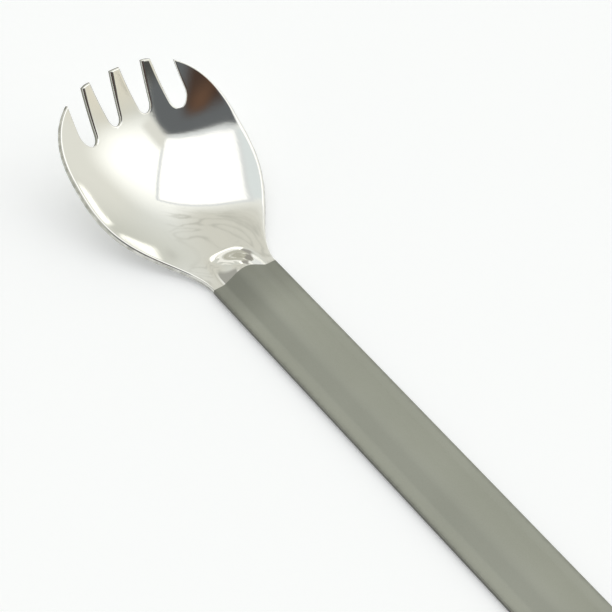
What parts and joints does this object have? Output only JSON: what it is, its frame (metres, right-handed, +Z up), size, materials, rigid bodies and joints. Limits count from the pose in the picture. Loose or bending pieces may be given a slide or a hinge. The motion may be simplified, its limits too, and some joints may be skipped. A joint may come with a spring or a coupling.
{
  "type": "spork",
  "caption": "Long-handled pressed metal spork: a mirror-polished bowl with short tines, and a straight bead-blasted handle with a raised ridge and a hang hole.",
  "frame": {"origin": "under the middle of the spork's bounding box, on the surface that it lies on", "axes": "+Y along the handle towards the tines, +Z up out of the open bowl, +X to the right"},
  "size_m": [0.0392, 0.2186, 0.0223],
  "materials": {
    "polished_titanium": "mirror-polished",
    "blasted_titanium": "bead-blasted"
  },
  "bodies": {
    "root": {"bowl": "polished_titanium", "handle": "blasted_titanium"}
  },
  "joints": []
}
